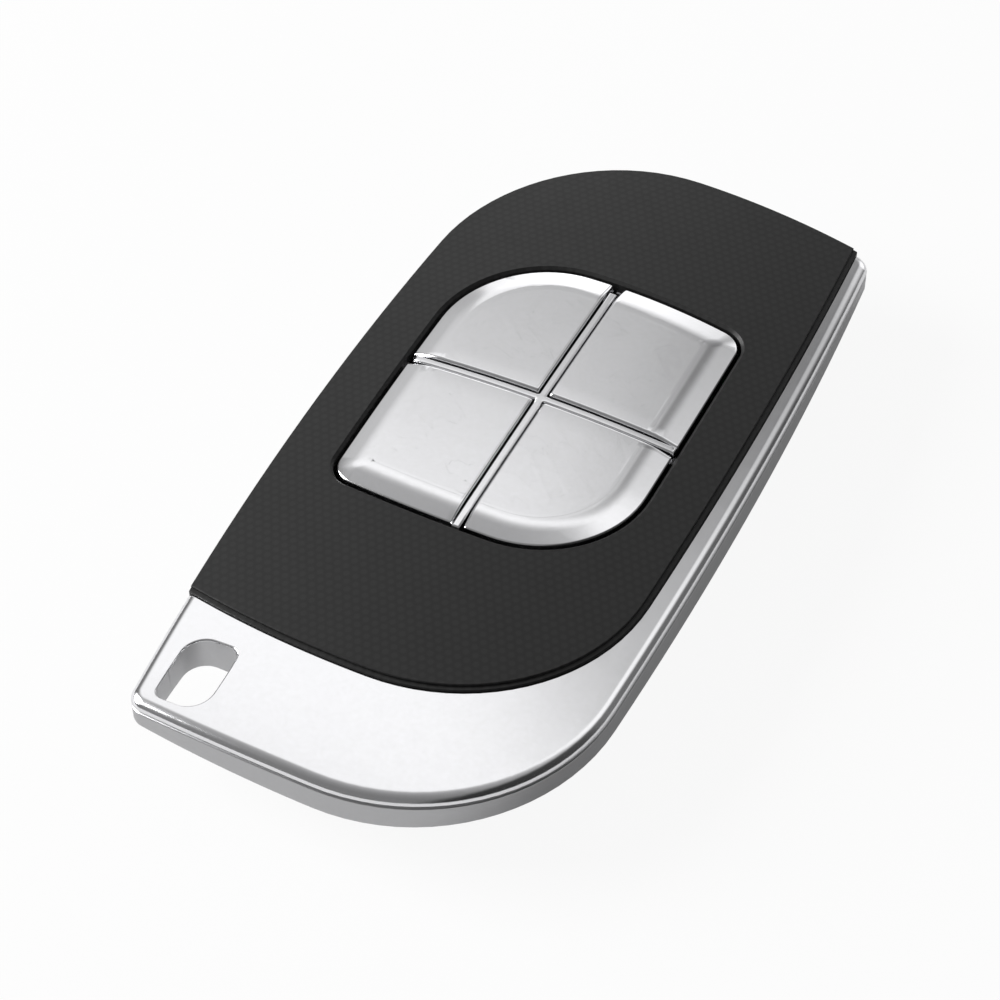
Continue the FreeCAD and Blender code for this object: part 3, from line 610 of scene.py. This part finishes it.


# Brightness and roughness of the silver parts, colour and roughness of the others. The wall silver
# is the same plating made darker: painted shade standing in for the dark reflections of the walls.
SILVERS = {"plated_silver": (0.86, 0.16), "silver_wall": (0.48, 0.3), "key_silver": (0.84, 0.16)}
PLASTICS = {
    "switch_black": ((0.02, 0.02, 0.02), 0.5),
    "plunger_white": ((0.75, 0.75, 0.72), 0.45),
    "chip_black": ((0.015, 0.015, 0.016), 0.6),
    "capacitor_tan": ((0.36, 0.25, 0.15), 0.5),
    "resistor_black": ((0.03, 0.03, 0.03), 0.5),
}
METALS = {
    "cell_steel": ((0.62, 0.62, 0.6), 0.25),
    "spring_steel": ((0.7, 0.66, 0.55), 0.3),
    "can_steel": ((0.6, 0.6, 0.6), 0.2),
    "antenna_copper": ((0.72, 0.33, 0.17), 0.3),
    "screw_steel": ((0.55, 0.55, 0.56), 0.3),
}
METAL_GRAIN = 2500.0

FINISHES = {"black_plate": black_plate(), "board_green": board_green()}
for slot_name, look in SILVERS.items():
    FINISHES[slot_name] = silver(slot_name, *look)
for slot_name, look in PLASTICS.items():
    FINISHES[slot_name] = moulded(slot_name, *look)
for slot_name, look in METALS.items():
    FINISHES[slot_name] = moulded(slot_name, *look, grain=METAL_GRAIN, metallic=1.0)


def eye_block(name, radius, low, high):
    """A round land about the key eye, out to the corner of the body."""
    land = bar(name, radius, EYE_X, EYE_Y, low, high, sides=96)
    beyond = (-BODY.half_width - MM, -BODY.half_length - MM, low)
    return boolean(land, "UNION", box("corner", beyond, (EYE_X, EYE_Y, high)))


def by_the_eye(point, margin):
    """Whether a point lies within the key eye's outline box, widened by a margin."""
    return (abs(point.x - EYE_X) < EYE.half_width + margin
            and abs(point.y - EYE_Y) < EYE.half_length + margin)


def screw_places():
    """The three screws that hold the back on: two above the keys and one below them."""
    above = PAD_Y + PAD.half_length + SCREW_ABOVE
    below = PAD_Y - PAD.half_length - SCREW_BELOW
    return [(PAD_X - SCREW_LEFT, above), (PAD_X + SCREW_RIGHT, above),
            (PAD_X - SCREW_LOW_LEFT, below)]


def cross_bars():
    """Crossed bars between the keys, a little short at the head and at the left, on wide roots."""
    half = KEY_GAP / 2 - BAR_CLEARANCE
    low, root_top = SEAT - MM, SEAT - BAR_ROOT_DEPTH
    left, right = PAD_X - PAD.half_width, PAD_X + PAD.half_width
    lower, upper = PAD_Y - PAD.half_length, PAD_Y + PAD.half_length
    bars = box("upright", (PAD_X - half, lower - KEY_CLEARANCE, low),
               (PAD_X + half, upper - BAR_SHORT_HEAD, BAR_TOP))
    boolean(bars, "UNION", box("crosswise", (left + BAR_SHORT_LEFT, PAD_Y - half, low),
                               (right, PAD_Y + half, BAR_TOP)))
    bevel_edges(bars, lambda point: abs(point.z - BAR_TOP) < TOUCH, BAR_ROUND, segments=4)
    roots = [
        box("root", (PAD_X - half, lower - MM, ROOF_BOTTOM), (PAD_X + half, upper + MM, root_top)),
        box("root", (left - MM, PAD_Y - half, ROOF_BOTTOM), (right + MM, PAD_Y + half, root_top)),
    ]
    return boolean(bars, "UNION", *roots)


def upper_shell():
    """The bright moulding: soft rim, seat of the plate, key window with bars, eye with collar."""
    plug = BODY.grown(-BODY_WALL - SHELL_PLAY, small=INNER_CORNER)
    rings = [(plug, ROOF_BOTTOM), (plug, PARTING), (BODY.grown(-PARTING_CHAMFER), PARTING)]
    rings += round_edge(BODY, SILVER_TOP - RIM_FILLET, RIM_FILLET, steps=RIM_STEPS,
                        width=RIM_FILLET_WIDTH)
    rings.append((BODY.grown(-RIM_FILLET_WIDTH - RIM_BORDER), SILVER_TOP))
    shell = stack("upper_shell", rings)
    past_land = eye_block("past_land", EYE_LAND + BODY_WALL + SHELL_PLAY, -MM, PARTING)
    boolean(shell, "DIFFERENCE", past_land)
    collar = prism("collar", EYE.grown(COLLAR_WALL), RIM_BOTTOM, SILVER_TOP - COLLAR_DEPTH)
    boolean(shell, "UNION", collar)
    seat = PLATE.grown(0.0, left=PLATE_OVERRUN, upper=PLATE_OVERRUN, right=PLATE_PLAY,
                       lower=PLATE_PLAY)
    recess = prism("recess", seat, SEAT, HIGH)
    window = prism("window", PAD.grown(KEY_CLEARANCE), RIM_BOTTOM, HIGH)
    boolean(shell, "DIFFERENCE", recess, window, prism("eye", EYE, -MM, HIGH))
    bevel_edges(shell, lambda point: abs(point.z - SILVER_TOP) < TOUCH
                and by_the_eye(point, 0.01 * MM), EYE_BEVEL, segments=3)
    boolean(shell, "UNION", cross_bars())
    press_crown(shell, still=RIM_BOTTOM, moving=ROOF_BOTTOM)
    finish_surface(shell)
    dress(shell, "silver_upper", "fob", "plated_silver", "upper_shell")
    paint_eye_wall_shade(shell)


def paint_eye_wall_shade(shell):
    """Paint shade on the upright faces inside the key eye: they take the darker copy of the silver,
    which stands in for their shade.
    """
    shell.data.materials.append(FINISHES["silver_wall"])
    nearly_upright = 0.2
    for face in shell.data.polygons:
        if by_the_eye(face.center, 0.05 * MM) and abs(face.normal.z) < nearly_upright:
            face.material_index = 1


def belly_rings():
    """Rings of the underside, rounded up from its flat middle towards the slope."""
    lean = math.atan2(RIM_BOTTOM, BELLY_INSET - BELLY_BRIM)
    reach = BELLY_ROUND * math.tan(lean / 2)
    rings = []
    for number in range(BELLY_STEPS + 1):
        turn = lean * number / BELLY_STEPS
        inset = BELLY_INSET + reach - BELLY_ROUND * math.sin(turn)
        z = BELLY_ROUND * (1 - math.cos(turn))
        if inset > BELLY_INSET:
            small = BELLY_CORNER + BELLY_INSET - inset
        else:
            small = BELLY_CORNER - (z / RIM_BOTTOM) * BELLY_CORNER_LOSS
        rings.append((BODY.grown(-inset, small=small), z))
    return rings


def lower_shell():
    """The lower moulding: upright wall, shallow belly cut away under the eye, three screw wells."""
    top = PARTING - PARTING_GAP
    rings = belly_rings() + [(BODY.grown(-BELLY_BRIM), RIM_BOTTOM), (BODY, RIM_BOTTOM)]
    rings += round_edge(BODY, top - PARTING_ROUND, PARTING_ROUND, steps=PARTING_STEPS)
    shell = stack("lower_shell", rings)
    boolean(shell, "DIFFERENCE", eye_block("scallop", EYE_LAND, -MM, RIM_BOTTOM))
    hollow = stack("hollow", [
        (BODY.grown(-BELLY_INSET - HOLLOW_INSET_LOW, small=BELLY_CORNER), HOLLOW_BOTTOM),
        (BODY.grown(-BELLY_BRIM - HOLLOW_INSET_HIGH, small=INNER_CORNER), RIM_BOTTOM),
        (BODY.grown(-BODY_WALL, small=INNER_CORNER), HIGH)])
    boolean(hollow, "DIFFERENCE", eye_block("land", EYE_LAND + BODY_WALL, -MM, HIGH + MM))
    around = EYE.grown(COLLAR_WALL + COLLAR_CLEARANCE)
    boolean(shell, "DIFFERENCE", hollow, prism("eye", around, -MM, HIGH))
    pillars = [bar("pillar", PILLAR_RADIUS, x, y, PILLAR_BOTTOM, PILLAR_TOP)
               for x, y in screw_places()]
    boolean(shell, "UNION", *pillars)
    wells = [bar("well", WELL_RADIUS, x, y, -MM, WELL_TOP) for x, y in screw_places()]
    boolean(shell, "DIFFERENCE", *wells)
    press_crown(shell, still=RIM_BOTTOM, moving=top)
    finish_surface(shell)
    # The lower shell takes the darkened silver: painted shade for the dark reflections of its wall.
    dress(shell, "silver_lower", "fob", "silver_wall", "lower_shell")


def top_cover():
    """The black plate on its wider foot, flush with the body at the left and the head.

    It is built too large to the left and to the head, and then cut to the body's outline.
    """
    edge = PLATE_EDGE
    sole = PLATE.grown(0.0, left=PLATE_OVERRUN, upper=PLATE_OVERRUN)
    raised = PLATE.grown(-PLATE_STEP_WIDTH, small=PLATE_STEP_CORNER, left=PLATE_OVERRUN,
                         upper=PLATE_OVERRUN)
    plate = stack("top_cover", [
        (sole, PLATE_BOTTOM), (sole, PLATE_STEP_HEIGHT - edge),
        (sole.grown(-edge), PLATE_STEP_HEIGHT), (raised, PLATE_STEP_HEIGHT),
        (raised, PLATE_TOP - edge), (raised.grown(-edge), PLATE_TOP)])
    inside = BODY.grown(-PLATE_INSET)
    boolean(plate, "INTERSECT", stack("inside", [
        (inside, SEAT - MM), (inside, PLATE_TOP - edge),
        (inside.grown(-2 * edge), PLATE_TOP + edge)]))
    opening, wide = PAD.grown(KEY_CLEARANCE), PAD.grown(KEY_CLEARANCE).grown(PLATE_CHAMFER)
    boolean(plate, "DIFFERENCE", stack("opening", [
        (opening, SEAT - MM), (opening, PLATE_TOP - PLATE_CHAMFER),
        (wide, PLATE_TOP), (wide, HIGH)]))
    press_crown(plate)
    finish_surface(plate)
    dress(plate, "black_cover", "fob", "black_plate", "top_cover")


def key_pad():
    """All four keys as one leaf: upright wall, soft edge, shallow bevel, and a flat top.

    The bevel passes into the top along a parabola, so that no line shows between them.
    """
    slope = KEY_BEVEL_DROP / KEY_BEVEL_WIDTH
    lean = math.atan(slope)
    wall_top = (KEY_TOP - KEY_BEVEL_DROP + slope * KEY_EDGE * (1 - math.sin(lean))
                - KEY_EDGE * math.cos(lean))
    rings = [(PAD, KEY_BOTTOM)]
    rings += round_edge(PAD, wall_top, KEY_EDGE, stop=90.0 - math.degrees(lean))
    for number in range(KEY_BLEND_STEPS + 1):
        inset = KEY_BEVEL_WIDTH - KEY_BLEND + 2 * KEY_BLEND * number / KEY_BLEND_STEPS
        left = KEY_BEVEL_WIDTH + KEY_BLEND - inset
        small = max(PAD.small - inset, KEY_CORNER)
        rings.append((PAD.grown(-inset, small=small),
                      KEY_TOP - slope / (4 * KEY_BLEND) * left ** 2))
    rings.append((PAD.grown(-inset - KEY_BLEND_BORDER, small=small), KEY_TOP))
    return stack("pad", rings)


def keys():
    """The four keys, cut out of the pad and rolled down along the gaps."""
    pad = key_pad()
    half = KEY_GAP / 2
    for name, side, end in (("upper_left", -1, 1), ("upper_right", 1, 1),
                            ("lower_left", -1, -1), ("lower_right", 1, -1)):
        only(pad)
        bpy.ops.object.duplicate()
        key = bpy.context.object
        for axis, sign, middle in ((0, side, PAD_X), (1, end, PAD_Y)):
            edit(key)
            bpy.ops.mesh.select_all(action="SELECT")
            normal = [float(axis == n) for n in range(3)]
            place = [(middle + sign * half) * part for part in normal]
            bpy.ops.mesh.bisect(plane_co=place, plane_no=normal, use_fill=True,
                                threshold=SLICE_SNAP, clear_inner=sign > 0,
                                clear_outer=sign < 0)
            done()
            slice_across(key, axis, [middle + sign * (half + KEY_ROLL * share)
                                     for share in KEY_ROLL_SHARES])
        for vertex in key.data.vertices:
            if vertex.co.z > KEY_TOP - KEY_ROLL_DEPTH:
                for place, middle in ((vertex.co.x, PAD_X), (vertex.co.y, PAD_Y)):
                    left = max(0.0, KEY_ROLL - (abs(place - middle) - half))
                    vertex.co.z -= KEY_ROLL - math.sqrt(max(0.0, KEY_ROLL ** 2 - left ** 2))
        press_crown(key)
        finish_surface(key, angle=KEY_SMOOTH_ANGLE, weld=False)
        dress(key, f"key_cap_{name}", f"{name}_key", "key_silver", f"key_{name}")
    bpy.data.objects.remove(pad, do_unlink=True)


def screws():
    """Pan-head screws with a cross recess, sunk in the back."""
    for name, (x, y) in zip(("upper_left", "upper_right", "lower"), screw_places()):
        head = bar(f"back_screw_{name}", HEAD_RADIUS, x, y, HEAD_BOTTOM, WELL_TOP)
        bevel_edges(head, lambda point: point.z < HEAD_BOTTOM + 0.01 * MM, HEAD_ROUND, segments=4)
        slots = [box("slot", (x - a, y - b, 0.0), (x + a, y + b, RECESS_DEEP))
                 for a, b in ((RECESS_ARM, RECESS_THIN), (RECESS_THIN, RECESS_ARM))]
        boolean(head, "DIFFERENCE", *slots)
        shank = bar("shank", SHANK_RADIUS, x, y, SHANK_BOTTOM, SHANK_TOP, sides=32)
        boolean(head, "UNION", shank)
        finish_surface(head)
        dress(head, f"back_screw_{name}", "fob", "screw_steel", "cover_screws")


def inner_finishes():
    """Each inner node keeps its own solid and takes its finish by its slot."""
    replaced = {"upper_shell", "lower_shell", "top_cover", "cover_screws"}
    for part in frame["record"]["subparts"]:
        node = part["node"]
        if node not in replaced and not node.startswith("key_"):
            materials = frame["nodes"][node].data.materials
            materials.clear()
            materials.append(FINISHES[part["material_slot"]])


# Tones of the white tent that the silver reflects, from the front (-1) to the far side (1).
TENT_TONES = [(-1.0, 0.2), (-0.6, 0.2), (-0.2, 0.26), (0.1, 0.36), (0.25, 0.46), (0.3, 0.62),
              (0.35, 1.0), (0.38, 1.15), (0.46, 1.15), (0.5, 1.07), (0.57, 0.98), (0.6, 0.86),
              (0.65, 0.66), (0.7, 0.54), (0.75, 0.45), (0.82, 0.8), (0.88, 1.3)]
TENT_STRENGTH = 1.3

# Where the tent gets dimmer: towards its left and right ends, and in a gap of its far part that
# shows in tops which slope to the right. Each pair says where the change begins and ends.
TENT_LEFT, TENT_RIGHT, TENT_SIDE_TONE = (-0.85, -0.6), (0.4, 0.65), 0.15
GAP_LEFT, GAP_RIGHT, GAP_NEAR, GAP_DEEPER = (-0.27, 0.02), (0.02, 0.18), (0.42, 0.5), (0.5, 0.72)
GAP_SHARE, GAP_DEEPER_SHARE = 0.5, 0.15

# The even light on all that isn't glossy.
PLAIN_LEVEL = 0.25

# The floor, and how much of it is pure white for the camera and in a reflection.
FLOOR_SIZE, FLOOR_TONE, FLOOR_ROUGHNESS = 6.0, 0.85, 0.9
FLOOR_SEEN, FLOOR_MIRRORED = 0.92, 0.12

# Name, direction, size and power of the lamps.
LAMPS = (("back_softbox", (-0.45, 0.82, 0.35), 0.25, 0.12),
         ("left_softbox", (-0.86, -0.2, 0.46), 0.45, 9.0))
LAMP_DISTANCE = 0.8

# Where the photograph was taken from, in millimetres and degrees.
CAMERA_PLACE = (74.24, -152.04, 195.26)
CAMERA_AZIMUTH, CAMERA_ELEVATION, CAMERA_ROLL = 26.66, 48.61, -0.14
CAMERA_LENS, CAMERA_SENSOR, CAMERA_CLIP = 107.7, 36.0, (0.01, 20.0)

# The kinds of rays, by their numbers among the light path's outputs.
RAY_KINDS = {"seen": 0, "glossy": 3, "through": 6}


def ray_is(kind):
    """1 for rays of one kind: seen by the camera, glossy, or let through a surface."""
    return Value.node("ShaderNodeLightPath", output=RAY_KINDS[kind])


def pale_floor():
    """A floor that looks white to the camera and hardly shows in the silver."""
    bpy.ops.object.select_all(action="DESELECT")
    bpy.ops.mesh.primitive_plane_add(size=FLOOR_SIZE)
    floor = bpy.context.object
    floor.name = "floor"
    made = material("floor_white", grey(FLOOR_TONE), FLOOR_ROUGHNESS)
    nodes = made.node_tree.nodes
    white = (ray_is("seen") * FLOOR_SEEN
             + (ray_is("glossy") + ray_is("through")) * FLOOR_MIRRORED).clamped()
    glow = Value.node("ShaderNodeEmission", Color=(1.0, 1.0, 1.0, 1.0), Strength=1.0)
    plain = Value(nodes["Principled BSDF"].outputs[0])
    mix = Value.node("ShaderNodeMixShader", n0=white, n1=plain, n2=glow)
    made.node_tree.links.new(mix.socket, nodes["Material Output"].inputs["Surface"])
    floor.data.materials.append(made)


def tent_tone():
    """What the silver reflects: bright in the far part of the tent, dimmer at its ends."""
    across, depth, _ = parts_of(Value.node("ShaderNodeTexCoord", output=0))
    stops = [(place / 2 + 0.5, tone / TENT_STRENGTH) for place, tone in TENT_TONES]
    tent = Value.node("ShaderNodeValToRGB", {"stops": stops}, Fac=depth / 2 + 0.5) * TENT_STRENGTH
    lit = across.between(*TENT_LEFT) * (1 - across.between(*TENT_RIGHT))
    tent = tent * (lit * (1 - TENT_SIDE_TONE) + TENT_SIDE_TONE)
    gap = across.between(*GAP_LEFT) * (1 - across.between(*GAP_RIGHT)) * depth.between(*GAP_NEAR)
    deeper = depth.between(*GAP_DEEPER, smooth=False) * GAP_DEEPER_SHARE
    return tent * (1 - gap * (deeper + GAP_SHARE))


def studio():
    """White for the camera, the tent for glossy surfaces, an even level for all others; lamps."""
    world = bpy.data.worlds.new("studio")
    bpy.context.scene.world = world
    world.use_nodes = True
    Value.tree = world.node_tree
    background = world.node_tree.nodes["Background"]
    tent, seen = tent_tone(), ray_is("seen")
    shown = (ray_is("glossy") + ray_is("through")).clamped()
    tone = seen + (1 - seen) * (shown * tent + (1 - shown) * PLAIN_LEVEL)
    world.node_tree.links.new(tone.socket, background.inputs["Color"])
    background.inputs["Strength"].default_value = 1.0

    for name, towards, size, power in LAMPS:
        bpy.ops.object.light_add(type="AREA")
        lamp = bpy.context.object
        lamp.name = name
        lamp.data.shape, lamp.data.size, lamp.data.energy = "SQUARE", size, power
        way = Vector(towards).normalized()
        lamp.location = way * LAMP_DISTANCE
        lamp.rotation_euler = way.to_track_quat("Z", "Y").to_euler()


def camera():
    """The photograph's view: from the lower right, 48.6 degrees above the floor."""
    azimuth, elevation = math.radians(CAMERA_AZIMUTH), math.radians(CAMERA_ELEVATION)
    ahead = Vector((-math.sin(azimuth) * math.cos(elevation),
                    math.cos(azimuth) * math.cos(elevation), -math.sin(elevation)))
    bpy.ops.object.camera_add()
    eye = bpy.context.object
    eye.name = "camera"
    roll = Matrix.Rotation(math.radians(CAMERA_ROLL), 3, "Z")
    turn = ahead.to_track_quat("-Z", "Y").to_matrix() @ roll
    eye.matrix_world = Matrix.Translation(Vector(CAMERA_PLACE) * MM) @ turn.to_4x4()
    eye.data.lens, eye.data.sensor_width = CAMERA_LENS, CAMERA_SENSOR
    eye.data.clip_start, eye.data.clip_end = CAMERA_CLIP
    bpy.context.scene.camera = eye
    bpy.context.scene.view_settings.view_transform = "Standard"


upper_shell()
lower_shell()
top_cover()
keys()
screws()
inner_finishes()
pale_floor()
studio()
camera()
